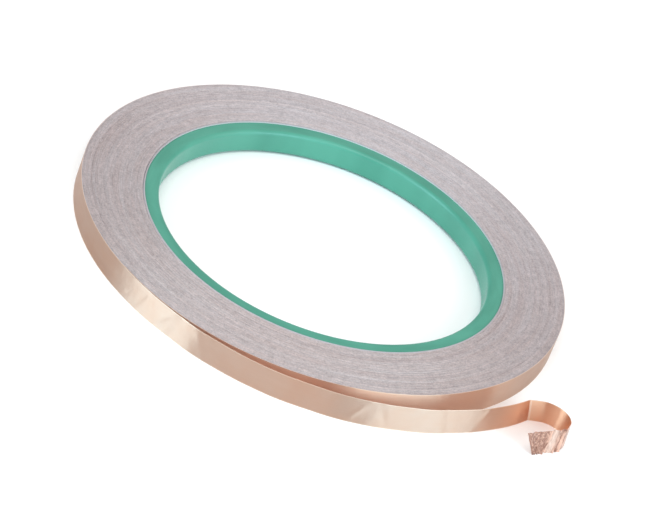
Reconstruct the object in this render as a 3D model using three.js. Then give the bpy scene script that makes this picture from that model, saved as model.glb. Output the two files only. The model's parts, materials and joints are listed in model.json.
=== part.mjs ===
// Copper foil tape roll: foil tape wound on a plastic core, with a peeled tail whose tip is curled back.
// Millimetres, +Z up. The origin is the middle of the roll: on its axis, half way across the tape's width.
// The roll lies on its side face. Turning angles are counter-clockwise seen from above.

import * as THREE from "three";

// ---- Driving dimensions -------------------------------------------------------------------------

// Core ring
const coreBore = 76.2; // inside diameter, the 3 inch core
const coreWall = 3.5;
const coreRecess = 0.25; // how far each side of the core lies below the tape's edge
const coreEdgeRound = 1; // radius of both inner edges
const coreOuterChamfer = 0.15;

// Tape: copper foil on the outside, then adhesive, then the paper liner
const tapeWidth = 6.35; // the 1/4 inch tape
const foilThickness = 0.035;
const adhesiveThickness = 0.03;
const linerThickness = 0.075;
const leaderTurns = 4; // bare liner wound on before the tape starts
const turnsOnRoll = 101;

// Tail: the freed end of the outermost turn
const peelAngle = -131; // degrees, where the tail leaves the roll
const tailSweep = 100.9; // degrees round the roll from the peel line to the crease
const tailLift = 6.95; // how far the tail stands off the roll at the crease
const tailEaseAngle = 50; // degrees over which the tail eases away from the roll
const creaseSkew = 20; // degrees between the crease and the tape's width
const skewBlendAngle = 14; // degrees of the tail over which its rulings turn to the crease

// Tip: the piece past the crease, curled outwards
const tipKink = 28; // degrees turned at the crease itself
const tipLeadLength = 2.3; // straight piece before the curl
const tipCurlRadius = 5;
const tipCurlAngle = 166; // degrees
const tipFlapLength = 7.3; // straight piece after the curl
const cutSkew = 30; // degrees between the cut end and the tape's width
const cutBlendLength = 4; // length over which the rulings turn to the cut's direction

// Clearances
const stripGap = 0.15; // half the gap where two lengths of one strip meet at a joint

// ---- Sizes that follow --------------------------------------------------------------------------

const turnPitch = foilThickness + adhesiveThickness + linerThickness;
const peeledThickness = foilThickness + adhesiveThickness;
const coreInnerRadius = coreBore / 2;
const coreOuterRadius = coreInnerRadius + coreWall;
const woundInnerRadius = coreOuterRadius + leaderTurns * linerThickness;
const rollRadius = woundInnerRadius + turnsOnRoll * turnPitch; // copper face at the peel line
const halfWidth = tapeWidth / 2;
const halfCore = halfWidth - coreRecess;

// ---- Facets -------------------------------------------------------------------------------------

const fullTurn = 360; // degrees
const ringSegments = 144;
const roundSegments = 3;
const stationAngle = fullTurn / ringSegments; // degrees between stations along the tail
const curlSegments = 22;
const straightSegments = 5;

// ---- Materials ----------------------------------------------------------------------------------

function material(color, roughness, metalness) {
  return new THREE.MeshStandardMaterial({ color, roughness, metalness });
}

const corePlastic = () => material(0x5cab98, 0.45, 0);
const copperFoil = () => material(0xd9a184, 0.32, 1);
const clearAdhesive = () => material(0xc8a58f, 0.6, 0);
const paperLiner = () => material(0xe6ddd6, 0.85, 0);
const woundEdge = () => material(0xc1b5b6, 0.75, 0);

// ---- Helpers ------------------------------------------------------------------------------------

const radians = THREE.MathUtils.degToRad;

function direction(angle) {
  return new THREE.Vector2(Math.cos(angle), Math.sin(angle));
}

/** The direction a quarter turn to the left of a heading, which points into the roll. */
function leftOf(heading) {
  return direction(heading + Math.PI / 2);
}

/** A ring turned about Z from a closed profile of [radius, height] points. */
function turnedRing(profile) {
  const points = profile.map(([radius, height]) => new THREE.Vector2(radius, height));
  points.push(points[0].clone());
  const start = radians(peelAngle + 90); // puts the ring's corners in line with the turns' corners
  return new THREE.LatheGeometry(points, ringSegments, start).rotateX(Math.PI / 2);
}

/** Points of a quarter circle about a centre, from one angle to the next, both in degrees. */
function quarterRound(centreRadius, centreHeight, radius, fromAngle) {
  const points = [];
  for (let i = 0; i <= roundSegments; i += 1) {
    const angle = radians(fromAngle + (90 * i) / roundSegments);
    points.push([centreRadius + radius * Math.cos(angle), centreHeight + radius * Math.sin(angle)]);
  }
  return points;
}

/**
 * A closed strip of tape that lies between two depths under the copper face.
 * Each station has a point of the copper face at half width, the direction into the strip,
 * and the lean of its ruling: how far the strip moves sideways for each millimetre of height.
 */
function stripSolid(stations, nearDepth, farDepth) {
  const corners = [
    [nearDepth, -halfWidth],
    [nearDepth, halfWidth],
    [farDepth, halfWidth],
    [farDepth, -halfWidth],
  ];
  const positions = [];
  for (const { face, inward, lean } of stations) {
    for (const [depth, height] of corners) {
      positions.push(face.x + inward.x * depth + lean.x * height);
      positions.push(face.y + inward.y * depth + lean.y * height);
      positions.push(height);
    }
  }
  const index = [];
  const quad = (a, b, c, d) => index.push(a, b, c, a, c, d);
  const last = 4 * (stations.length - 1);
  for (let a = 0; a < last; a += 4) {
    const b = a + 4;
    quad(a, b, b + 1, a + 1); // copper side
    quad(a + 3, a + 2, b + 2, b + 3); // side next to the roll
    quad(a + 1, b + 1, b + 2, a + 2); // upper edge
    quad(a, a + 3, b + 3, b); // lower edge
  }
  quad(0, 1, 2, 3);
  quad(last, last + 3, last + 2, last + 1);
  const geometry = new THREE.BufferGeometry();
  geometry.setAttribute("position", new THREE.Float32BufferAttribute(positions, 3));
  geometry.setIndex(index);
  geometry.computeVertexNormals();
  return geometry;
}

const upright = new THREE.Vector2(0, 0);

// ---- Paths --------------------------------------------------------------------------------------

/** Radius of the copper face after a turn of so many degrees from the peel line, one pitch a turn. */
function turnRadius(turned) {
  return rollRadius - turnPitch * (1 - turned / fullTurn);
}

/** Station of the outermost turn. Its layers keep their depth along the radius, so they nest exactly. */
function turnStation(turned) {
  const outward = direction(radians(peelAngle + turned));
  return {
    face: outward.clone().multiplyScalar(turnRadius(turned)),
    inward: outward.clone().negate(),
    lean: upright,
  };
}

const liftRate = (tailLift * (tailSweep + tailEaseAngle)) / tailSweep ** 2; // mm per degree, once eased

/** How far the tail stands off after so many degrees: it eases off, then grows evenly with angle. */
function tailOffset(turned) {
  return (liftRate * turned ** 2) / (turned + tailEaseAngle);
}

/** Heading of the tail: along the roll, turned outwards by the slope of its offset. */
function tailHeading(turned) {
  const slope = (liftRate * (turned ** 2 + 2 * turned * tailEaseAngle)) / (turned + tailEaseAngle) ** 2;
  const outwards = Math.atan2(slope / radians(1), rollRadius + tailOffset(turned));
  return radians(peelAngle + turned + 90) - outwards;
}

/** Station of the tail. Its rulings are upright, and skew along the strip as they come near the crease. */
function tailStation(turned) {
  const heading = tailHeading(turned);
  const radius = rollRadius + tailOffset(turned);
  const skewed = THREE.MathUtils.smoothstep(turned, tailSweep - skewBlendAngle, tailSweep);
  return {
    face: direction(radians(peelAngle + turned)).multiplyScalar(radius),
    inward: leftOf(heading),
    lean: direction(heading).multiplyScalar(-Math.tan(radians(creaseSkew)) * skewed),
  };
}

const crease = tailStation(tailSweep);
const creaseHeading = tailHeading(tailSweep);
const curlLength = tipCurlRadius * radians(tipCurlAngle);
const tipLength = tipLeadLength + curlLength + tipFlapLength;

/** Station of the tip at a length past the crease: straight, then an arc to the right, then straight. */
function tipStation(length) {
  const startHeading = creaseHeading - radians(tipKink);
  const curled = THREE.MathUtils.clamp(length - tipLeadLength, 0, curlLength) / tipCurlRadius;
  const heading = startHeading - curled;
  const face = crease.face.clone();
  face.addScaledVector(direction(startHeading), Math.min(length, tipLeadLength));
  face.addScaledVector(leftOf(startHeading), -tipCurlRadius);
  face.addScaledVector(leftOf(heading), tipCurlRadius);
  face.addScaledVector(direction(heading), Math.max(length - tipLeadLength - curlLength, 0));
  const skewLeft = 1 - THREE.MathUtils.smoothstep(length, 0, tipLength - cutBlendLength);
  const cut = THREE.MathUtils.smoothstep(length, tipLength - cutBlendLength, tipLength);
  const lean = crease.lean.clone().multiplyScalar(skewLeft);
  lean.addScaledVector(direction(heading), Math.tan(radians(cutSkew)) * cut);
  return { face, inward: leftOf(heading), lean };
}

/** Values from first to last in equal steps, both ends included. */
function evenly(first, last, steps) {
  return Array.from({ length: steps + 1 }, (_, i) => first + ((last - first) * i) / steps);
}

const gapAngle = THREE.MathUtils.radToDeg(stripGap / rollRadius);
const turnStations = evenly(0, fullTurn, ringSegments).map((turned) => {
  return turnStation(Math.min(turned, fullTurn - gapAngle));
});

const tailSteps = Math.ceil(tailSweep / stationAngle);
const tailStations = evenly(gapAngle, tailSweep - gapAngle, tailSteps).map(tailStation);

const tipBreaks = [
  ...evenly(stripGap, tipLeadLength, 2),
  ...evenly(tipLeadLength, tipLeadLength + curlLength, curlSegments).slice(1),
  ...evenly(tipLeadLength + curlLength, tipLength, straightSegments).slice(1),
];
const tipStations = tipBreaks.map(tipStation);

// ---- Core ---------------------------------------------------------------------------------------

function coreRing() {
  const roundRadius = coreInnerRadius + coreEdgeRound;
  const roundHeight = halfCore - coreEdgeRound;
  return turnedRing([
    ...quarterRound(roundRadius, roundHeight, coreEdgeRound, 90),
    ...quarterRound(roundRadius, -roundHeight, coreEdgeRound, 180),
    [coreOuterRadius - coreOuterChamfer, -halfCore],
    [coreOuterRadius, -halfCore + coreOuterChamfer],
    [coreOuterRadius, halfCore - coreOuterChamfer],
    [coreOuterRadius - coreOuterChamfer, halfCore],
  ]);
}

/** The turns of bare liner between the core and the first turn of tape, as one ring. */
function linerLeader() {
  return turnedRing([
    [coreOuterRadius, -halfWidth],
    [woundInnerRadius, -halfWidth],
    [woundInnerRadius, halfWidth],
    [coreOuterRadius, halfWidth],
  ]);
}

// ---- Wound tape ---------------------------------------------------------------------------------

/** All turns under the outermost one. Its outside is a spiral with a step where the last turn starts. */
function woundTape() {
  const outline = evenly(0, fullTurn, ringSegments).map((turned) => {
    return direction(radians(peelAngle + turned)).multiplyScalar(turnRadius(turned) - turnPitch);
  });
  const hole = evenly(0, fullTurn, ringSegments).slice(1).map((turned) => {
    return direction(radians(peelAngle + turned)).multiplyScalar(woundInnerRadius);
  });
  const shape = new THREE.Shape(outline);
  shape.holes.push(new THREE.Path(hole));
  const settings = { depth: tapeWidth, bevelEnabled: false };
  return new THREE.ExtrudeGeometry(shape, settings).translate(0, 0, -halfWidth);
}

// ---- Assembly -----------------------------------------------------------------------------------

const roll = new THREE.Group();

function add(name, geometry, finish) {
  const mesh = new THREE.Mesh(geometry, finish);
  mesh.name = name;
  roll.add(mesh);
}

const foilDepths = [0, foilThickness];
const adhesiveDepths = [foilThickness, peeledThickness];
const linerDepths = [peeledThickness, turnPitch];

add("core_ring", coreRing(), corePlastic());
add("liner_leader", linerLeader(), paperLiner());
add("wound_tape", woundTape(), woundEdge());
add("outer_turn_liner", stripSolid(turnStations, ...linerDepths), paperLiner());
add("outer_turn_adhesive", stripSolid(turnStations, ...adhesiveDepths), clearAdhesive());
add("outer_turn_foil", stripSolid(turnStations, ...foilDepths), copperFoil());
add("tail_adhesive", stripSolid(tailStations, ...adhesiveDepths), clearAdhesive());
add("tail_foil", stripSolid(tailStations, ...foilDepths), copperFoil());
add("tip_adhesive", stripSolid(tipStations, ...adhesiveDepths), clearAdhesive());
add("tip_foil", stripSolid(tipStations, ...foilDepths), copperFoil());

export default roll;
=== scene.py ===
"""Copper foil tape roll: the finished surfaces, laid out as an add-on and run as a script.

Every length in the geometry functions is in millimetres and is turned into metres when a mesh is made.
The origin is the middle of the roll, +Z runs along the winding axis, and angles go counter-clockwise
from +X.
"""

import json
import math

import bpy
import numpy as np
from bpy.props import FloatProperty, FloatVectorProperty, IntProperty, PointerProperty
from mathutils import Matrix, Vector


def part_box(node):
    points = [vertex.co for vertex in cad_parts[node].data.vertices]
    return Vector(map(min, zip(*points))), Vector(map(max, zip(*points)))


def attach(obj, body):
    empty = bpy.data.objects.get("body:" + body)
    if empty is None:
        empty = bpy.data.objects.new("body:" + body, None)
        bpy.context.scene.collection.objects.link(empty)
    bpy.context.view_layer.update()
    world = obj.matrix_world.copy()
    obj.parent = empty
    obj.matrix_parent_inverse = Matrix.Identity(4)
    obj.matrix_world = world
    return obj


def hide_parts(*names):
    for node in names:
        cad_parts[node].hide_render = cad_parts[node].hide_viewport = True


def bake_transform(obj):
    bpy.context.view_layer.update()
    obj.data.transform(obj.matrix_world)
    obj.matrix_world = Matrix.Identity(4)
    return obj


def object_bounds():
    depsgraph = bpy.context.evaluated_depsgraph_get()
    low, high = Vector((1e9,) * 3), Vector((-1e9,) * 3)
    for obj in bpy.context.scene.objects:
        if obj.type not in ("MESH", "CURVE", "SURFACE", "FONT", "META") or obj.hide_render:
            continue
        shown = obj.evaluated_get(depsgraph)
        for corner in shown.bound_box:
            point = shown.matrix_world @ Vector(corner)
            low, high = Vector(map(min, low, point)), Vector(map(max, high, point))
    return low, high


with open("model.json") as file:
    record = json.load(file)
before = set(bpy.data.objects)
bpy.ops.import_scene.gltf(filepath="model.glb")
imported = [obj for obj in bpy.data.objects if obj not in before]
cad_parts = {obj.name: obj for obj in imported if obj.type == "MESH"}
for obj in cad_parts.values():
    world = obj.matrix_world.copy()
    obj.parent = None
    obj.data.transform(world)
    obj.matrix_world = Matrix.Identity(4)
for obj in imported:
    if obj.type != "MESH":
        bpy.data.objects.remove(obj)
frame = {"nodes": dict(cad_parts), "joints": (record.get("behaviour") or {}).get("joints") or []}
cad_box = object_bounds()

bl_info = {
    "name": "Copper Foil Tape Roll",
    "version": (1, 0, 0),
    "blender": (4, 5, 0),
    "location": "View3D > Sidebar > Foil Roll",
    "description": "Builds a roll of narrow copper foil tape with a peeled tail and a curled tip",
    "category": "Add Mesh",
}

MM = 0.001

# Units of the tape's own map for each mm, so that 10 mm of tape is one unit.
MAP_SCALE = 0.1

# Stations along the tail and the tip, and points across the width of each strip.
TAIL_STATIONS = 420
TIP_STATIONS = 420
TURN_ROWS = 9
TAIL_ROWS = 13
TIP_ROWS = 33


# ---- What the frame says ------------------------------------------------------------------------


def radii(node):
    """Smallest and largest distance of a CAD node's corners from the winding axis, in mm."""
    mesh = frame["nodes"][node].data
    points = np.empty(len(mesh.vertices) * 3, np.float32)
    mesh.vertices.foreach_get("co", points)
    away = np.hypot(*points.reshape(-1, 3)[:, :2].T) / MM
    return float(away.min()), float(away.max())


def joint(name):
    """A joint's record by its name."""
    return next(j for j in frame["joints"] if j["name"] == name)


CORE_INNER, CORE_OUTER = radii("core_ring")
LEADER_OUTER = radii("liner_leader")[1]
CORE_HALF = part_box("core_ring")[1].z / MM
TAPE_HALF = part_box("wound_tape")[1].z / MM
ROLL_RADIUS = radii("outer_turn_foil")[1]
PEEL = np.array(joint("tail_peel")["pos_m"][:2]) / MM
CREASE = np.array(joint("tip_fold")["pos_m"][:2]) / MM
CREASE_AXIS = np.array(joint("tip_fold")["axis"])
PEEL_ANGLE = math.atan2(PEEL[1], PEEL[0])
TAIL_SWEEP = math.atan2(CREASE[1], CREASE[0]) - PEEL_ANGLE
TAIL_LIFT = math.hypot(*CREASE) - ROLL_RADIUS
CREASE_SKEW = math.acos(abs(CREASE_AXIS[2]))


# ---- Settings a user would change ---------------------------------------------------------------


def length(name, description, default):
    """A length in mm, shown as a plain number because the geometry works in mm."""
    return FloatProperty(name=name, description=description, default=default, min=0.0, precision=4)


def angle(name, description, default):
    """An angle, kept in radians and shown in degrees."""
    return FloatProperty(
        name=name, description=description, default=default, subtype="ANGLE", unit="ROTATION"
    )


def count(name, description, default):
    """A whole number of turns or facets."""
    return IntProperty(name=name, description=description, default=default, min=1)


def colour(name, description, default):
    """A linear colour without alpha."""
    return FloatVectorProperty(
        name=name, description=description, default=default, size=3, min=0.0, max=1.0, subtype="COLOR"
    )


class FOILROLL_PG_sizes(bpy.types.PropertyGroup):
    """Sizes of the core and of the tape, in mm"""

    foil: length("Foil", "Thickness of the copper foil", 0.035)
    adhesive: length("Adhesive", "Thickness of the adhesive film", 0.03)
    liner: length("Liner", "Thickness of the paper release liner", 0.075)
    leader_turns: count("Leader turns", "Turns of bare liner next to the core", 4)
    edge_round: length("Core edge", "Radius of the core's two inner edges", 1.0)
    outer_round: length("Core outer edge", "Radius of the core's two outer edges", 0.15)
    around: count("Facets around", "Facets around the core and the outermost turn", 480)


class FOILROLL_PG_tail(bpy.types.PropertyGroup):
    """Shape of the peeled tail and its curled tip"""

    ease: angle("Ease", "Angle over which the tail eases away from the roll", math.radians(50))
    skew_blend: angle("Skew blend", "Angle over which the rulings turn to the crease", math.radians(14))
    kink: angle("Kink", "Angle turned at the crease", math.radians(28))
    lead: length("Lead", "Straight length before the curl, in mm", 2.3)
    curl_radius: length("Curl radius", "Radius of the tip's curl, in mm", 5.0)
    curl: angle("Curl", "Angle turned by the curl", math.radians(166))
    flap: length("Flap", "Straight length after the curl, in mm", 7.3)
    cut_skew: angle("Cut skew", "Angle between the cut end and the tape's width", math.radians(30))
    cut_blend: length("Cut blend", "Length over which the rulings turn to the cut, in mm", 4.0)
    wave: length("Wave", "Height of the tail's slow waves, in mm", 0.09)
    dent: length("Dents", "Height of the tail's dents, in mm", 0.08)
    crumple: length("Crumple", "Height of the folds in the crumpled flap, in mm", 0.42)


class FOILROLL_PG_finish(bpy.types.PropertyGroup):
    """Colours of the materials"""

    core: colour("Core", "Sea green plastic of the core", (0.046, 0.243, 0.168))
    copper: colour("Copper", "Bright rolled copper", (0.61, 0.42, 0.33))
    copper_warm: colour("Warm copper", "Copper where it has started to tarnish", (0.60, 0.37, 0.27))
    # Painted warm reflection over the tape's end.
    copper_warm_reflection: colour("Warm reflection copper", "Copper of the tape's end, with a painted warm reflection", (0.84, 0.45, 0.285))
    # Painted light on the turn under the tail.
    copper_lit_under_tail: colour("Bared copper", "Copper of the turn under the tail, brightened with painted light", (0.94, 0.57, 0.41))
    # Painted shade next to the peel line.
    copper_peel_shade: colour("Peel line shade copper", "Copper of the turn under the tail, darkened with painted shade next to the peel line", (0.50, 0.20, 0.12))
    # Painted highlight along the crease and the slit edges.
    copper_highlight: colour("Highlight copper", "Copper with a painted highlight along the crease and the slit edges", (0.90, 0.72, 0.58))
    adhesive: colour("Adhesive", "Copper seen through the adhesive film", (0.84, 0.52, 0.40))
    # Painted highlight on the flap's flat facet.
    adhesive_highlight: colour("Facet highlight adhesive", "Adhesive with a painted highlight on the flap's flat facet", (0.80, 0.66, 0.58))
    # Painted shade in the flap's creases; it also colours the dark speckles at the flap's end.
    adhesive_dark: colour("Shaded adhesive", "Adhesive with painted shade in the flap's creases, also the dark speckles at its end", (0.26, 0.12, 0.085))
    liner_face: colour("Liner face", "Coated face of the release liner", (0.80, 0.76, 0.75))
    paper: colour("Paper", "Slit edge of the release liner", (0.445, 0.392, 0.405))
    paper_pink: colour("Pink paper", "Liner that reflects the copper beside it", (0.415, 0.338, 0.34))


class FOILROLL_PG_studio(bpy.types.PropertyGroup):
    """Camera and light"""

    elevation: angle("Elevation", "Height of the camera above the floor", math.radians(32.12))
    roll: angle("Roll", "Turn of the camera about its own line of sight", math.radians(21.59))
    distance: length("Distance", "Distance from the camera to its aim, in mm", 850.96)
    lens: length("Lens", "Focal length of the camera, in mm", 209.54)
    aim: FloatVectorProperty(
        name="Aim", description="Point the camera looks at, in mm", default=(4.07, -6.41, 0.0)
    )


def settings(group):
    """The scene's property group of that short name."""
    return getattr(bpy.context.scene, "foil_" + group)


def tape_pitch():
    """Thickness of one wound turn: foil, adhesive and liner."""
    sizes = settings("sizes")
    return sizes.foil + sizes.adhesive + sizes.liner


# ---- Surfaces -----------------------------------------------------------------------------------


def grid_quads(rows, columns, close_rows=False, close_columns=False):
    """Quads of a grid of rows by columns points, numbered along the columns first."""
    row_ends = rows if close_rows else rows - 1
    column_ends = columns if close_columns else columns - 1
    i, j = np.meshgrid(np.arange(row_ends), np.arange(column_ends), indexing="ij")
    next_i, next_j = (i + 1) % rows, (j + 1) % columns
    corners = (i * columns + j, next_i * columns + j, next_i * columns + next_j, i * columns + next_j)
    return np.stack(corners, axis=-1).reshape(-1, 4)


def make_piece(name, points, quads, material, uv=None, sharp=math.radians(35)):
    """A mesh object from points in mm and quads, shaded smooth up to the sharp angle."""
    mesh = bpy.data.meshes.new(name)
    mesh.from_pydata((points * MM).tolist(), [], quads.tolist())
    mesh.shade_smooth()
    mesh.set_sharp_from_angle(angle=sharp)
    if uv is not None:
        layer = mesh.uv_layers.new(name="along_tape")
        layer.uv.foreach_set("vector", uv[quads.ravel()].astype(np.float32).ravel())
    mesh.materials.append(material)
    piece = bpy.data.objects.new(name, mesh)
    bpy.context.scene.collection.objects.link(piece)
    return piece


def ring_piece(name, profile, around, material):
    """A closed profile of [radius, height] points, turned counter-clockwise about Z in equal steps."""
    turn = np.linspace(0, 2 * np.pi, around, endpoint=False)[:, None]
    radius = profile[None, :, 0]
    height = np.broadcast_to(profile[None, :, 1], (around, len(profile)))
    points = np.stack([radius * np.cos(turn), radius * np.sin(turn), height], axis=-1)
    quads = grid_quads(around, len(profile), close_rows=True, close_columns=True)
    return make_piece(name, points.reshape(-1, 3), quads, material)


def rounded_profile(low_radius, high_radius, half, inner_round, outer_round, steps=10, margin=0.04):
    """A rectangle of radius and height with round corners, as points that run counter-clockwise.

    Each corner is a quarter circle. Each flat has two extra points, at a small share of its length from its
    ends, so that it shades flat.
    """

    def corner(radius, height, size, start):
        turn = np.radians(start + np.linspace(0, 90, steps))
        return np.stack([radius + size * np.cos(turn), height + size * np.sin(turn)], axis=1)

    corners = [
        corner(low_radius + inner_round, -half + inner_round, inner_round, 180),
        corner(high_radius - outer_round, -half + outer_round, outer_round, 270),
        corner(high_radius - outer_round, half - outer_round, outer_round, 0),
        corner(low_radius + inner_round, half - inner_round, inner_round, 90),
    ]
    points = []
    for here, following in zip(corners, corners[1:] + corners[:1]):
        start, end = here[-1:], following[:1]
        points += [here, start * (1 - margin) + end * margin, start * margin + end * (1 - margin)]
    return np.concatenate(points)


def smoothstep(value):
    """Goes from 0 to 1 as value does, level at both ends."""
    t = np.clip(value, 0, 1)
    return t * t * (3 - 2 * t)


def directions(heading):
    """Unit vectors of an array of headings."""
    return np.stack([np.cos(heading), np.sin(heading)], axis=-1)


def left_of(heading):
    """Unit vectors a quarter turn to the left of the headings, which point into the roll."""
    return directions(heading + np.pi / 2)


class Path:
    """Stations along the tape: the copper face's points, headings and leans of the rulings, and the length.

    A lean is how far a ruling's upper end goes sideways for each mm of height.
    """

    def __init__(self, face, heading, lean, start_length):
        self.face, self.heading, self.lean = face, heading, lean
        steps = np.hypot(*np.diff(face, axis=0).T)
        self.length = start_length + np.concatenate([[0], np.cumsum(steps)])


def turn_path(stations):
    """The outermost turn: its radius grows evenly by one pitch, up to the roll's radius at the peel line."""
    turned = np.linspace(0, 2 * np.pi, stations)
    radius = ROLL_RADIUS - tape_pitch() * (1 - turned / (2 * np.pi))
    face = directions(PEEL_ANGLE + turned) * radius[:, None]
    return Path(face, PEEL_ANGLE + turned + np.pi / 2, np.zeros((stations, 2)), -2 * np.pi * ROLL_RADIUS)


def tail_path(stations):
    """The tail: it stands off the roll by rate * turned^2 / (turned + ease), where turned is the angle past
    the peel line, and its heading follows from the slope of that offset.

    The rulings are upright and skew along the strip as they come near the crease.
    """
    tail = settings("tail")
    turned = np.linspace(0, TAIL_SWEEP, stations)
    rate = TAIL_LIFT * (TAIL_SWEEP + tail.ease) / TAIL_SWEEP**2
    offset = rate * turned**2 / (turned + tail.ease)
    slope = rate * (turned**2 + 2 * turned * tail.ease) / (turned + tail.ease) ** 2
    radius = ROLL_RADIUS + offset
    heading = PEEL_ANGLE + turned + np.pi / 2 - np.arctan2(slope, radius)
    skewed = smoothstep((turned - TAIL_SWEEP + tail.skew_blend) / tail.skew_blend)
    lean = directions(heading) * (-math.tan(CREASE_SKEW) * skewed)[:, None]
    return Path(directions(PEEL_ANGLE + turned) * radius[:, None], heading, lean, 0.0)


def crease_length():
    """Length of the tail from the peel line to the crease, in mm."""
    return tail_path(TAIL_STATIONS).length[-1]


def tip_path(stations):
    """The tip: a kink at the crease, a straight piece, an arc to the right and another straight piece.

    The rulings start at the crease's skew, straighten along the curl and turn to the cut at the end.
    """
    tail = settings("tail")
    before = tail_path(TAIL_STATIONS)
    curl_length = tail.curl_radius * tail.curl
    total = tail.lead + curl_length + tail.flap
    along = np.linspace(0, total, stations)
    start = before.heading[-1] - tail.kink
    heading = start - np.clip(along - tail.lead, 0, curl_length) / tail.curl_radius
    face = (
        before.face[-1]
        + directions(np.array(start)) * np.minimum(along, tail.lead)[:, None]
        - left_of(np.array(start)) * tail.curl_radius
        + left_of(heading) * tail.curl_radius
        + directions(heading) * np.maximum(along - tail.lead - curl_length, 0)[:, None]
    )
    uncut = total - tail.cut_blend
    from_crease = 1 - smoothstep(along / uncut)
    to_cut = math.tan(tail.cut_skew) * smoothstep((along - uncut) / tail.cut_blend)
    lean = before.lean[-1] * from_crease[:, None] + directions(heading) * to_cut[:, None]
    return Path(face, heading, lean, before.length[-1])


def strip_piece(name, path, near, far, rows, relief, material):
    """A closed strip of tape between two depths under the copper face, carried along a path.

    Station i and height z give the point face + left * (depth - relief) + lean * z. The ring of each station
    goes up the near side and down the far side, and both ends are closed between the two sides.
    """
    stations, around = len(path.face), 2 * rows
    up = np.linspace(-TAPE_HALF, TAPE_HALF, rows)
    height = np.broadcast_to(np.concatenate([up, up[::-1]]), (stations, around))
    along = np.broadcast_to(path.length[:, None], (stations, around))
    depth = np.repeat([near, far], rows) - relief(along, height)
    level = (
        path.face[:, None, :]
        + left_of(path.heading)[:, None, :] * depth[..., None]
        + path.lean[:, None, :] * height[..., None]
    )
    points = np.concatenate([level, height[..., None]], axis=-1).reshape(-1, 3)
    sides = grid_quads(stations, around, close_columns=True)
    rung = np.arange(rows - 1)
    cap = np.stack([rung, rung + 1, around - 2 - rung, around - 1 - rung], axis=1)
    far_cap = cap + (stations - 1) * around
    quads = np.concatenate([sides, cap, far_cap[:, ::-1]])
    uv = np.stack([along, height], axis=-1).reshape(-1, 2) * MAP_SCALE
    return make_piece(name, points, quads, material, uv)


def flat_relief(along, height):
    """No relief."""
    return np.zeros_like(along)


WAVES = (
    # mm along the tape for each radian, radians for each mm of height, phase, share of the waves' height
    (2.9, 0.12, 0.0, 1.0),
    (1.75, -0.1, 1.3, 0.7),
    (4.7, 0.0, 0.4, 0.5),
)


DENTS = (
    # mm past the peel line, mm of lean for each mm of height, share of the dents' height, mm of half width
    (8.5, 0.55, 1.0, 0.9),
    (11.0, -0.40, -0.8, 0.7),
    (14.2, 0.90, 1.0, 0.8),
    (18.0, 0.30, -1.0, 1.1),
    (24.5, -0.60, 0.7, 1.0),
    (37.0, 0.40, 0.8, 1.3),
    (49.0, -0.70, -0.7, 1.0),
    (61.0, 0.70, 0.9, 0.8),
    (66.5, -0.50, -0.8, 0.9),
    (74.0, 0.45, 1.0, 1.0),
    (81.5, -0.30, -0.9, 0.8),
    (90.0, 0.50, 0.8, 0.9),
)


def tail_relief(along, height):
    """Relief of the tail, eased in between 2 and 10 mm past the peel line.

    It is the sum of a slow sine for each wave and of a bell, exp(-(distance / width)^2), for each dent. A
    dent leans across the width, and a sine of the height makes it uneven along its own line.
    """
    tail = settings("tail")
    periods, tilts, phases, parts = np.array(WAVES).T[:, :, None, None]
    waves = (parts * np.sin(along / periods + tilts * height + phases)).sum(axis=0)
    places, leans, shares, widths = np.array(DENTS).T[:, :, None, None]
    bells = np.exp(-(((along - places - leans * height) / widths) ** 2))
    uneven = 0.65 + 0.35 * np.sin(1.1 * height + 2.3 * places)
    dents = (shares * bells * uneven).sum(axis=0)
    start, full = 2.0, 10.0
    eased = smoothstep((along - start) / (full - start))
    return (0.5 * tail.wave * waves + tail.dent * dents) * eased


FOLDS = (
    # length past the crease, share of the crumple's height, lean of the fold along the tape
    (0.0, 0.0, 0.0),
    (12.6, 0.0, 0.05),
    (14.4, 0.45, 0.12),
    (15.3, -0.5, -0.05),
    (16.2, 0.55, 0.10),
    (17.0, -0.35, -0.10),
    (18.9, 0.9, 0.06),
    (19.5, -0.6, 0.10),
    (20.3, 0.3, -0.05),
    (21.2, -0.3, 0.12),
    (22.2, 0.5, -0.08),
    (23.2, -0.2, 0.04),
    (26.0, 0.1, 0.0),
)


def tip_relief(along, height):
    """Relief of the tip: straight ramps between leaning fold lines, and crossing sines on the flap.

    The tail's own relief fades out over the first 3 mm, and the sines fade in from 12.5 to 15.5 mm.
    """
    tail = settings("tail")
    past = along - crease_length()
    places, heights, leans = np.array(FOLDS).T
    lean = np.interp(past, places, leans)
    folds = np.interp(past + lean * height, places, heights)
    crossing = 0.12 * np.sin(past * 7.3 + height * 1.9) + 0.10 * np.sin(past * 4.1 - height * 3.1 + 1.0)
    fade = 3.0
    flap_start = 12.5
    crumpled = folds + crossing * smoothstep((past - flap_start) / fade)
    return tail.crumple * crumpled + tail_relief(along, height) * (1 - smoothstep(past / fade))


# ---- Node helpers -------------------------------------------------------------------------------


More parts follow.
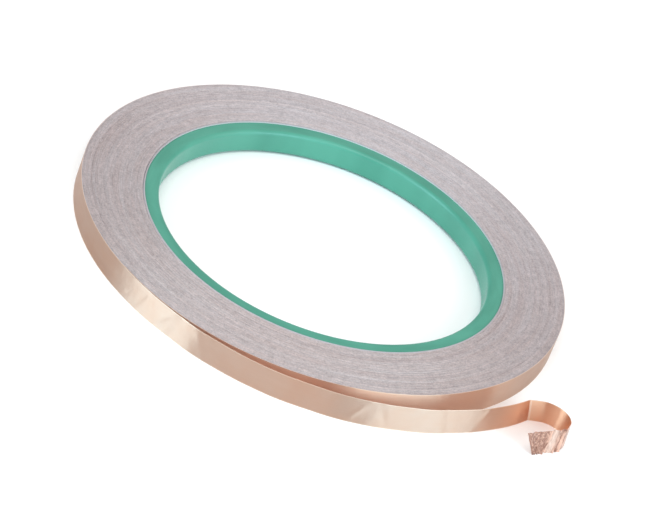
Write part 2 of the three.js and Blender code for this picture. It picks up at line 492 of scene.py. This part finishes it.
class Nodes:
    """Short calls that add and link the nodes of one material."""

    def __init__(self, name):
        self.material = bpy.data.materials.new(name)
        self.material.use_nodes = True
        self.tree = self.material.node_tree
        self.shader = self.tree.nodes["Principled BSDF"]

    def add(self, kind, inputs=(), **attributes):
        """A node with its attributes, and its inputs set to values or linked to sockets."""
        node = self.tree.nodes.new("ShaderNode" + kind)
        for name, value in attributes.items():
            setattr(node, name, value)
        for name, value in dict(inputs).items():
            self.feed(node.inputs[name], value)
        return node

    def feed(self, socket, value):
        """Sets a socket to a value, or links it from another socket."""
        if isinstance(value, bpy.types.NodeSocket):
            self.tree.links.new(value, socket)
        else:
            socket.default_value = value

    def math(self, operation, first, second=0.0):
        """One sum, product or other operation on two values."""
        return self.add("Math", {0: first, 1: second}, operation=operation).outputs[0]

    def noise(self, vector, scale, detail, roughness):
        """Noise from 0 to 1, mostly near one half."""
        values = {"Vector": vector, "Scale": scale, "Detail": detail, "Roughness": roughness}
        return self.add("TexNoise", values).outputs["Fac"]

    def spread(self, value, low, high, to_low, to_high):
        """Maps a value from one range to another, held at its ends."""
        values = {"Value": value, "From Min": low, "From Max": high, "To Min": to_low, "To Max": to_high}
        return self.add("MapRange", values).outputs["Result"]

    def window(self, value, start, full_from, full_to, end):
        """Rises from 0 to 1 between the first two values, and falls back to 0 between the last two."""
        rising = self.spread(value, start, full_from, 0.0, 1.0)
        return self.math("MULTIPLY", rising, self.spread(value, full_to, end, 1.0, 0.0))

    def mix(self, factor, first, second, blend_type="MIX"):
        """A mix of two colours, each a socket or three numbers."""
        node = self.add("Mix", data_type="RGBA", blend_type=blend_type)
        self.feed(node.inputs["Factor"], factor)
        self.feed(node.inputs["A"], first if isinstance(first, bpy.types.NodeSocket) else (*first, 1.0))
        self.feed(node.inputs["B"], second if isinstance(second, bpy.types.NodeSocket) else (*second, 1.0))
        return node.outputs["Result"]

    def bump(self, height, strength, distance, normal=None):
        """A bump from a height, with its depth in metres."""
        inputs = {"Height": height, "Strength": strength, "Distance": distance}
        if normal is not None:
            inputs["Normal"] = normal
        return self.add("Bump", inputs).outputs["Normal"]

    def set(self, **inputs):
        """Sets the shader's inputs, with underscores for the spaces in their names."""
        for name, value in inputs.items():
            socket = self.shader.inputs[name.replace("_", " ")]
            if isinstance(value, tuple) and len(value) == 3 and socket.type == "RGBA":
                value = (*value, 1.0)
            self.feed(socket, value)

    def place(self):
        """The point of the surface in the object's own coordinates, in metres."""
        return self.add("TexCoord").outputs["Object"]

    def tape_map(self):
        """The tape's own map: its length in X and its width in Y."""
        return self.add("UVMap", uv_map="along_tape").outputs["UV"]

    def streaks(self, along, across, detail, roughness):
        """Noise on the tape's own map, with one scale along the tape and one across it."""
        inputs = {"Vector": self.tape_map(), "Scale": (along, across, 1.0)}
        vector = self.add("Mapping", inputs).outputs["Vector"]
        return self.noise(vector, 1.0, detail, roughness)

    def map_parts(self):
        """Millimetres along the tape from the peel line, and away from the middle of its width."""
        parts = self.add("SeparateXYZ", {0: self.tape_map()}).outputs
        along = self.math("DIVIDE", parts["X"], MAP_SCALE)
        return along, self.math("ABSOLUTE", self.math("DIVIDE", parts["Y"], MAP_SCALE))


# ---- Materials ----------------------------------------------------------------------------------


# How far before the crease the painted warm reflection grows to its full strength, in mm.
WARM_REFLECTION = 16.0

# On the turn under the tail, where the painted shade next to the peel line fades out and where the painted
# light does, in mm past the peel line.
PEEL_SHADE = (10.0, 46.0)
LIT_UNDER_TAIL = (62.0, 96.0)

# Where the tip's crumpled stretch and its painted crease shade fade in, the painted highlight on its flat
# facet comes and goes, and its speckled end fades in, in mm past the crease.
CRUMPLED = (11.5, 14.0)
LIT_FACET = (16.8, 17.8, 18.2, 19.4)
SPECKLED = (19.4, 20.0)


def rolled_copper(name):
    """Rolled copper: fine lines along the tape, soft dents, and patches that have turned warmer.

    It is more orange over the tape's end from a painted warm reflection, brighter on the turn under the tail
    from painted light, darker there next to the peel line from painted shade, and has a painted highlight
    along the crease and the two slit edges. Its rolled lines spread each highlight across the tape's width,
    which is what the quarter turn of the anisotropy does.
    """
    finish = settings("finish")
    nodes = Nodes(name)
    place = nodes.place()
    lines = nodes.streaks(along=0.6, across=45.0, detail=4.0, roughness=0.65)
    patches = nodes.noise(place, scale=130.0, detail=3.0, roughness=0.6)
    dents = nodes.noise(place, scale=420.0, detail=2.0, roughness=0.5)
    along, away = nodes.map_parts()
    crease = crease_length()
    one_turn = 2 * math.pi * ROLL_RADIUS
    # Painted warm reflection: more orange over the last stretch before the crease, and held on to the tip's
    # end.
    warm_reflection = nodes.spread(along, crease - WARM_REFLECTION, crease, 0.0, 0.9)
    # Painted light on the turn under the tail, fading out past the tail.
    lit_under_tail = nodes.spread(along, LIT_UNDER_TAIL[0] - one_turn, LIT_UNDER_TAIL[1] - one_turn, 0.95, 0.0)
    # Painted shade next to the peel line, on the turn under the tail.
    peel_shade = nodes.spread(along, PEEL_SHADE[0] - one_turn, PEEL_SHADE[1] - one_turn, 0.8, 0.0)
    fold_middle = crease + 0.25
    off_fold = nodes.math("ABSOLUTE", nodes.math("SUBTRACT", along, fold_middle))
    # Painted highlight along the crease.
    fold_highlight = nodes.spread(off_fold, 0.05, 0.3, 0.5, 0.0)
    # Painted highlight along the two slit edges.
    edge_highlight = nodes.spread(away, TAPE_HALF - 0.195, TAPE_HALF - 0.115, 0.0, 0.5)
    tone = nodes.mix(nodes.spread(patches, 0.35, 0.7, 0.0, 0.65), finish.copper, finish.copper_warm)
    tone = nodes.mix(warm_reflection, tone, finish.copper_warm_reflection)
    tone = nodes.mix(lit_under_tail, tone, finish.copper_lit_under_tail)
    tone = nodes.mix(peel_shade, tone, finish.copper_peel_shade)
    tone = nodes.mix(nodes.math("MAXIMUM", fold_highlight, edge_highlight), tone, finish.copper_highlight)
    soft = nodes.bump(dents, strength=0.5, distance=0.0001)
    nodes.set(
        Base_Color=tone,
        Metallic=1.0,
        Roughness=nodes.spread(lines, 0.3, 0.7, 0.38, 0.48),
        Anisotropic=1.0,
        Anisotropic_Rotation=0.25,
        Normal=nodes.bump(lines, strength=0.4, distance=0.000012, normal=soft),
        Tangent=nodes.add("Tangent", direction_type="UV_MAP", uv_map="along_tape").outputs["Tangent"],
    )
    return nodes.material


def sticky_back(name):
    """Adhesive film on the back of the copper: hazy, with small bubbles and lines.

    On the flap it has painted shade in the creases of the crumpled stretch and a painted highlight on one
    flat facet, and it is speckled dark at the end.
    """
    finish = settings("finish")
    nodes = Nodes(name)
    haze = nodes.noise(nodes.place(), scale=600.0, detail=4.0, roughness=0.65)
    lines = nodes.streaks(along=22.0, across=2.5, detail=3.0, roughness=0.6)
    folds = nodes.streaks(along=13.0, across=2.0, detail=4.0, roughness=0.7)
    speckles = nodes.streaks(along=26.0, across=16.0, detail=3.0, roughness=0.7)
    past = nodes.math("SUBTRACT", nodes.map_parts()[0], crease_length())
    # Painted highlight on the flap's flat facet.
    flat = nodes.window(past, *LIT_FACET)
    crumpled = nodes.spread(past, *CRUMPLED, 0.0, 1.0)
    # Painted shade in the creases of the crumpled stretch, weaker on the flat facet.
    crease_shade = nodes.math("MULTIPLY", crumpled, nodes.spread(folds, 0.46, 0.58, 0.0, 0.95))
    crease_shade = nodes.math("MULTIPLY", crease_shade, nodes.spread(flat, 0.0, 1.0, 1.0, 0.25))
    speckled = nodes.spread(past, *SPECKLED, 0.0, 1.0)
    dotted = nodes.math("MULTIPLY", speckled, nodes.spread(speckles, 0.38, 0.56, 0.25, 0.9))
    hazy = tuple(0.85 * part for part in finish.adhesive)
    film = nodes.mix(nodes.spread(haze, 0.3, 0.7, 0.0, 0.8), finish.adhesive, hazy)
    # The flat facet's painted highlight.
    film = nodes.mix(nodes.math("MULTIPLY", flat, 0.6), film, finish.adhesive_highlight)
    wrinkled = nodes.bump(lines, strength=0.6, distance=0.00008)
    nodes.set(
        # Painted crease shade and the end's dark speckles.
        Base_Color=nodes.mix(nodes.math("MAXIMUM", crease_shade, dotted), film, finish.adhesive_dark),
        Metallic=0.85,
        Roughness=nodes.spread(haze, 0.3, 0.7, 0.24, 0.42),
        Coat_Weight=0.45,
        Coat_Roughness=0.22,
        Normal=nodes.bump(haze, strength=0.5, distance=0.00003, normal=wrinkled),
    )
    return nodes.material


def liner_paper(name):
    """Silicone-coated release liner: a light face with faint fibres, and a duller slit edge."""
    finish = settings("finish")
    nodes = Nodes(name)
    place = nodes.place()
    fibres = nodes.noise(place, scale=1500.0, detail=4.0, roughness=0.7)
    light = tuple(min(1.0, 1.15 * part) for part in finish.paper)
    edge = nodes.mix(nodes.spread(fibres, 0.3, 0.7, 0.0, 1.0), finish.paper, light)
    height = nodes.math("ABSOLUTE", nodes.add("SeparateXYZ", {0: place}).outputs["Z"])
    rim = nodes.spread(height, (TAPE_HALF - 0.35) * MM, (TAPE_HALF - 0.04) * MM, 0.0, 1.0)
    nodes.set(
        Base_Color=nodes.mix(rim, finish.liner_face, edge),
        Roughness=nodes.spread(fibres, 0.3, 0.7, 0.55, 0.75),
        Normal=nodes.bump(fibres, strength=0.3, distance=0.00002),
    )
    return nodes.material


def polar_noise(nodes, per_metre, per_turn, detail, roughness):
    """Noise that changes fast with the radius and slowly round the axis, with no seam at any angle.

    Its vector is (radius * per_metre, x / radius * per_turn, y / radius * per_turn).
    """
    parts = nodes.add("SeparateXYZ", {0: nodes.place()}).outputs
    squared = nodes.math("ADD", nodes.math("POWER", parts["X"], 2.0), nodes.math("POWER", parts["Y"], 2.0))
    radius = nodes.math("SQRT", squared)
    inputs = {
        "X": nodes.math("MULTIPLY", radius, per_metre),
        "Y": nodes.math("MULTIPLY", nodes.math("DIVIDE", parts["X"], radius), per_turn),
        "Z": nodes.math("MULTIPLY", nodes.math("DIVIDE", parts["Y"], radius), per_turn),
    }
    return nodes.noise(nodes.add("CombineXYZ", inputs).outputs["Vector"], 1.0, detail, roughness)


def slit_edges(name):
    """Slit edges of the turns: paper and copper in each turn, with streaks that follow groups of turns."""
    finish = settings("finish")
    nodes = Nodes(name)
    place = nodes.place()
    layer = nodes.add("Attribute", attribute_name="layer").outputs["Fac"]
    turn_tone = nodes.add("Attribute", attribute_name="turn_tone").outputs["Fac"]
    broad = polar_noise(nodes, per_metre=900.0, per_turn=2.4, detail=3.0, roughness=0.6)
    fine = polar_noise(nodes, per_metre=2600.0, per_turn=26.0, detail=3.0, roughness=0.7)
    grain = nodes.noise(place, scale=2300.0, detail=2.0, roughness=0.7)
    mottling = nodes.noise(place, scale=800.0, detail=2.0, roughness=0.5)
    paper = nodes.mix(nodes.spread(broad, 0.35, 0.65, 0.0, 0.75), finish.paper, finish.paper_pink)
    layered = nodes.mix(layer, paper, nodes.mix(0.45, paper, finish.copper))
    shade = nodes.spread(fine, 0.25, 0.75, 0.84, 1.14)
    shade = nodes.math("ADD", shade, nodes.spread(grain, 0.25, 0.75, -0.20, 0.20))
    shade = nodes.math("ADD", shade, nodes.spread(mottling, 0.3, 0.7, -0.07, 0.07))
    shade = nodes.math("ADD", shade, nodes.spread(turn_tone, 0.0, 1.0, -0.07, 0.07))
    grey = nodes.add("CombineColor", {0: shade, 1: shade, 2: shade}).outputs[0]
    rough = nodes.bump(grain, strength=0.35, distance=0.00003)
    nodes.set(
        Base_Color=nodes.mix(1.0, layered, grey, "MULTIPLY"),
        Roughness=nodes.spread(fine, 0.3, 0.7, 0.45, 0.65),
        Metallic=nodes.math("MULTIPLY", layer, 0.5),
        Normal=nodes.bump(fine, strength=0.4, distance=0.00005, normal=rough),
    )
    return nodes.material


def moulded_plastic(name):
    """Moulded sea green plastic: satin, with faint flow marks round the ring and a fine grain."""
    finish = settings("finish")
    nodes = Nodes(name)
    flow = polar_noise(nodes, per_metre=300.0, per_turn=3.0, detail=2.0, roughness=0.5)
    grain = nodes.noise(nodes.place(), scale=2600.0, detail=2.0, roughness=0.6)
    pale = tuple(part * 1.16 + 0.012 for part in finish.core)
    nodes.set(
        Base_Color=nodes.mix(nodes.spread(flow, 0.35, 0.65, 0.0, 1.0), finish.core, pale),
        Roughness=nodes.spread(grain, 0.3, 0.7, 0.34, 0.46),
        Coat_Weight=0.15,
        Coat_Roughness=0.35,
        Normal=nodes.bump(grain, strength=0.25, distance=0.000012),
    )
    return nodes.material


def pale_floor(name):
    """Matt white floor."""
    nodes = Nodes(name)
    nodes.set(Base_Color=(0.98, 0.95, 0.94), Roughness=0.9, Specular_IOR_Level=0.1)
    return nodes.material


def shared(make):
    """A material that is made once and then found by the name of the function that makes it."""
    name = make.__name__
    return bpy.data.materials.get(name) or make(name)


# ---- Pieces -------------------------------------------------------------------------------------


class FOILROLL_OT_core(bpy.types.Operator):
    """Make the plastic core ring"""

    bl_idname = "foilroll.core"
    bl_label = "Core Ring"

    def execute(self, context):
        sizes = settings("sizes")
        profile = rounded_profile(CORE_INNER, CORE_OUTER, CORE_HALF, sizes.edge_round, sizes.outer_round)
        piece = ring_piece("core", profile, sizes.around, shared(moulded_plastic))
        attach(piece, "roll")
        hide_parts("core_ring")
        return {"FINISHED"}


class FOILROLL_OT_leader(bpy.types.Operator):
    """Make the turns of bare liner next to the core"""

    bl_idname = "foilroll.leader"
    bl_label = "Liner Leader"

    def execute(self, context):
        sizes = settings("sizes")
        bevel, drop, step, groove = 0.008, 0.02, 0.04, 0.1
        edges = []
        for turn in range(sizes.leader_turns):
            low = CORE_OUTER + turn * sizes.liner
            high = low + sizes.liner
            rim = TAPE_HALF - drop - step * (turn % 2)
            edges += [[low + bevel, rim], [high - bevel, rim], [high, TAPE_HALF - groove]]
        top = np.array(edges)
        bottom = top[::-1] * np.array([1.0, -1.0])
        profile = np.concatenate([top, bottom])[::-1]
        piece = ring_piece("leader", profile, sizes.around, shared(liner_paper))
        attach(piece, "roll")
        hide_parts("liner_leader")
        return {"FINISHED"}


WOUND_STATIONS = 240
WOUND_LAYERS = (
    # share of copper in the face that starts at this edge, depth of the edge under its turn's level in mm
    (0.0, 0.012),
    (0.4, 0.0),
    (0.4, 0.035),
    (1.0, 0.0),
)


def wound_points(side, turns, rng):
    """Points of the wound turns' slit edges, as stations by layers.

    Station i has the angle peel + 2 pi i / n, and its layer edge j has the radius inner + pitch * i / n +
    edge j, so the last layer of a turn meets the first layer of the next. The height is the half width less
    the turn's level and the edge's depth. The level is random for each turn, plus two slow sines of the
    turn's number and two sines of the angle, and keeps between 0.02 and 0.14 mm.
    """
    sizes = settings("sizes")
    bevel = 0.006
    edges = np.array([0.0, sizes.liner - bevel, sizes.liner + bevel, sizes.liner + sizes.adhesive])
    depths = np.array(WOUND_LAYERS)[:, 1]
    number = np.arange(turns + 2)
    level = 0.055 + rng.normal(0, 0.014, turns + 2)
    level += 0.02 * np.sin(number / 5.3) + 0.014 * np.sin(number / 2.1 + 1)
    phase = rng.uniform(0, 2 * np.pi, (turns + 2, 3))
    station = np.arange((turns + 1) * WOUND_STATIONS + 1)
    turn = station // WOUND_STATIONS
    angle = PEEL_ANGLE + 2 * np.pi * station / WOUND_STATIONS
    wander = 0.012 * np.sin(angle + phase[turn, 0]) + 0.007 * np.sin(3 * angle + phase[turn, 1])
    own = np.clip(level[turn] + wander, 0.02, 0.14)
    radius = LEADER_OUTER + (tape_pitch() * station / WOUND_STATIONS)[:, None] + edges
    height = side * (TAPE_HALF - own[:, None] - depths)
    outer_rim = 0.03
    height[turns * WOUND_STATIONS :, 0] = side * (TAPE_HALF - outer_rim)
    return np.concatenate([directions(angle)[:, None, :] * radius[..., None], height[..., None]], axis=-1)


def wound_half(name, side, seed):
    """One half of the wound turns, from mid height to the slit edges, as one closed spiral surface.

    Each face of the slit edges lies between two layer edges and two stations. Walls go from the innermost and
    the outermost edge of the spiral to mid height, where a flat ring closes the half.
    """
    rng = np.random.default_rng(seed)
    # The outermost turn is a piece of its own, and the spiral's outer edge gains one more pitch.
    turns = round((ROLL_RADIUS - LEADER_OUTER) / tape_pitch()) - 2
    layers = len(WOUND_LAYERS)
    points = wound_points(side, turns, rng).reshape(-1, 3)
    faced = turns * WOUND_STATIONS

    def corner(i, j):
        """Number of a station's layer edge. Past the last edge it is the first one, a turn further on."""
        return np.where(j == layers, (i + WOUND_STATIONS) * layers, i * layers + j)

    i, j = np.meshgrid(np.arange(faced), np.arange(layers), indexing="ij")
    slit = np.stack([corner(i, j), corner(i, j + 1), corner(i + 1, j + 1), corner(i + 1, j)], axis=-1)
    slit = slit.reshape(-1, 4)

    inner = np.concatenate([np.arange(WOUND_STATIONS + 1) * layers, np.arange(layers - 1, 0, -1)])
    outer = inner + faced * layers
    low_inner = len(points) + np.arange(len(inner))
    low_outer = low_inner + len(inner)
    middle = points[np.concatenate([inner, outer])] * np.array([1.0, 1.0, 0.0])
    next_inner, next_outer, next_low_inner, next_low_outer = (
        np.roll(loop, -1) for loop in (inner, outer, low_inner, low_outer)
    )
    outer_wall = np.stack([low_outer, next_low_outer, next_outer, outer], axis=-1)
    inner_wall = np.stack([next_low_inner, low_inner, inner, next_inner], axis=-1)
    closing = np.stack([next_low_inner, next_low_outer, low_outer, low_inner], axis=-1)
    quads = np.concatenate([slit, outer_wall, inner_wall, closing])
    if side < 0:
        quads = quads[:, ::-1]
    used, renumbered = np.unique(quads, return_inverse=True)
    points = np.concatenate([points, middle])[used]
    piece = make_piece(name, points, renumbered.reshape(quads.shape), shared(slit_edges))

    copper = np.zeros(len(quads), np.float32)
    copper[: len(slit)] = np.tile(np.array(WOUND_LAYERS)[:, 0], faced)
    tone = np.full(len(quads), 0.5, np.float32)
    tone[: len(slit)] = np.repeat(rng.uniform(0, 1, turns + 1), WOUND_STATIONS * layers)[: len(slit)]
    for label, values in (("layer", copper), ("turn_tone", tone)):
        piece.data.attributes.new(label, "FLOAT", "FACE").data.foreach_set("value", values)
    return piece


class FOILROLL_OT_wound(bpy.types.Operator):
    """Make the slit edges of all the wound turns, as an upper and a lower half"""

    bl_idname = "foilroll.wound"
    bl_label = "Wound Tape"

    def execute(self, context):
        for name, side, seed in (("wound_upper", 1, 11), ("wound_lower", -1, 23)):
            piece = wound_half(name, side, seed)
            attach(piece, "roll")
            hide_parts("wound_tape")
        return {"FINISHED"}


class FOILROLL_OT_outer_turn(bpy.types.Operator):
    """Make the foil, the adhesive and the liner of the outermost turn"""

    bl_idname = "foilroll.outer_turn"
    bl_label = "Outermost Turn"

    def execute(self, context):
        sizes = settings("sizes")
        path = turn_path(sizes.around + 1)
        bonded = sizes.foil + sizes.adhesive
        layers = (
            ("liner", bonded, tape_pitch(), 2, liner_paper, "release_liner"),
            ("adhesive", sizes.foil, bonded, 2, sticky_back, "adhesive"),
            ("foil", 0.0, sizes.foil, TURN_ROWS, rolled_copper, "copper_foil"),
        )
        for layer, near, far, rows, make, slot in layers:
            piece = strip_piece("turn_" + layer, path, near, far, rows, flat_relief, shared(make))
            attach(piece, "roll")
            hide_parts("outer_turn_" + layer)
        return {"FINISHED"}


def bonded_strips(part, path, rows, relief):
    """The adhesive and the foil of one part of the peeled tape."""
    sizes = settings("sizes")
    layers = (
        ("_back", sizes.foil, sizes.foil + sizes.adhesive, sticky_back, "adhesive", "_adhesive"),
        ("_copper", 0.0, sizes.foil, rolled_copper, "copper_foil", "_foil"),
    )
    pieces = []
    for ending, near, far, make, slot, node_ending in layers:
        piece = strip_piece(part + ending, path, near, far, rows, relief, shared(make))
        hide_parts(part + node_ending)
        pieces.append(piece)
    return pieces


class FOILROLL_OT_tail(bpy.types.Operator):
    """Make the foil and the adhesive of the peeled tail"""

    bl_idname = "foilroll.tail"
    bl_label = "Peeled Tail"

    def execute(self, context):
        path = tail_path(TAIL_STATIONS)
        for piece in bonded_strips("tail", path, TAIL_ROWS, tail_relief):
            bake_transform(piece)
        return {"FINISHED"}


class FOILROLL_OT_tip(bpy.types.Operator):
    """Make the foil and the adhesive of the curled tip"""

    bl_idname = "foilroll.tip"
    bl_label = "Curled Tip"

    def execute(self, context):
        path = tip_path(TIP_STATIONS)
        for piece in bonded_strips("tip", path, TIP_ROWS, tip_relief):
            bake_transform(piece)
        return {"FINISHED"}


# ---- Stage --------------------------------------------------------------------------------------


def add_camera():
    """The camera looks down at the elevation, along +Y, and is turned about its own line of sight."""
    studio = settings("studio")
    back = Vector((0.0, -math.cos(studio.elevation), math.sin(studio.elevation)))
    right = Vector((1.0, 0.0, 0.0))
    up = back.cross(right)
    turned_right = right * math.cos(studio.roll) + up * math.sin(studio.roll)
    turned_up = -right * math.sin(studio.roll) + up * math.cos(studio.roll)
    data = bpy.data.cameras.new("camera")
    data.lens = studio.lens
    data.sensor_width = 36.0
    data.clip_start, data.clip_end = 0.05, 20.0
    camera = bpy.data.objects.new("camera", data)
    bpy.context.scene.collection.objects.link(camera)
    place = (Vector(studio.aim) + back * studio.distance) * MM
    rotation = Matrix((turned_right, turned_up, back)).transposed()
    camera.matrix_world = Matrix.Translation(place) @ rotation.to_4x4()
    bpy.context.scene.camera = camera


COOL = (0.56, 0.86, 1.0)
WARM = (1.0, 0.9, 0.8)
WHITE = (1.0, 1.0, 1.0)
AMBER = (1.0, 0.6, 0.4)
PANELS = (
    # name, azimuth and elevation in degrees, distance, width and height in metres, radiance, tint
    ("key", -57, 20, 1.1, (0.60, 0.8), 6.2, COOL),
    ("fill", 54, 20, 1.1, (0.80, 0.8), 4.8, COOL),
    ("right", 100, 30, 1.2, (0.6, 0.9), 1.3, WARM),
    ("front", -10, 62, 1.3, (0.9, 0.5), 4.2, WHITE),
    ("back", 175, 60, 1.3, (1.0, 0.6), 0.5, AMBER),
)


def add_panel(name, azimuth, elevation, distance, size, radiance, tint):
    """A soft panel that faces the roll. Azimuth 0 is on the camera's side and grows to its right."""
    a, e = math.radians(azimuth), math.radians(elevation)
    towards = Vector((math.sin(a) * math.cos(e), -math.cos(a) * math.cos(e), math.sin(e)))
    data = bpy.data.lights.new(name, "AREA")
    data.shape = "RECTANGLE"
    data.size, data.size_y = size
    data.energy = radiance * math.pi * size[0] * size[1]
    data.color = tint
    light = bpy.data.objects.new(name, data)
    light.location = towards * distance
    light.rotation_mode = "QUATERNION"
    light.rotation_quaternion = towards.to_track_quat("Z", "Y")
    bpy.context.scene.collection.objects.link(light)


def add_floor():
    """A pale floor, 6 m square, under the roll's lower side face."""
    half = 3.0
    level = cad_box[0].z
    corners = [(half * x, half * y, level) for x, y in ((-1, -1), (1, -1), (1, 1), (-1, 1))]
    mesh = bpy.data.meshes.new("floor")
    mesh.from_pydata(corners, [], [(0, 1, 2, 3)])
    mesh.materials.append(shared(pale_floor))
    floor = bpy.data.objects.new("floor", mesh)
    bpy.context.scene.collection.objects.link(floor)


class FOILROLL_OT_stage(bpy.types.Operator):
    """Set the pale floor, the soft studio lights and the camera"""

    bl_idname = "foilroll.stage"
    bl_label = "Stage"

    def execute(self, context):
        add_camera()
        add_floor()
        for panel in PANELS:
            add_panel(*panel)
        world = bpy.data.worlds.new("studio")
        world.use_nodes = True
        background = world.node_tree.nodes["Background"].inputs
        background["Color"].default_value = (*WHITE, 1.0)
        background["Strength"].default_value = 0.6
        context.scene.world = world
        context.scene.view_settings.view_transform = "Standard"
        return {"FINISHED"}


# ---- Panel and registration ---------------------------------------------------------------------

OPERATORS = (
    FOILROLL_OT_stage,
    FOILROLL_OT_core,
    FOILROLL_OT_leader,
    FOILROLL_OT_wound,
    FOILROLL_OT_outer_turn,
    FOILROLL_OT_tail,
    FOILROLL_OT_tip,
)

GROUPS = {
    "foil_sizes": FOILROLL_PG_sizes,
    "foil_tail": FOILROLL_PG_tail,
    "foil_finish": FOILROLL_PG_finish,
    "foil_studio": FOILROLL_PG_studio,
}


class FOILROLL_PT_panel(bpy.types.Panel):
    """Buttons that build the roll, and its settings"""

    bl_label = "Foil Roll"
    bl_idname = "FOILROLL_PT_panel"
    bl_space_type = "VIEW_3D"
    bl_region_type = "UI"
    bl_category = "Foil Roll"

    def draw(self, context):
        layout = self.layout
        for operator in OPERATORS:
            layout.operator(operator.bl_idname)
        for name, group in GROUPS.items():
            box = layout.box()
            for setting in group.__annotations__:
                box.prop(getattr(context.scene, name), setting)


def register():
    for group in (*GROUPS.values(), *OPERATORS, FOILROLL_PT_panel):
        bpy.utils.register_class(group)
    for name, group in GROUPS.items():
        setattr(bpy.types.Scene, name, PointerProperty(type=group))


def unregister():
    for name in GROUPS:
        delattr(bpy.types.Scene, name)
    for group in reversed((*GROUPS.values(), *OPERATORS, FOILROLL_PT_panel)):
        bpy.utils.unregister_class(group)


def main():
    register()
    for operator in OPERATORS:
        group, name = operator.bl_idname.split(".")
        getattr(getattr(bpy.ops, group), name)()


if __name__ == "__main__":
    main()
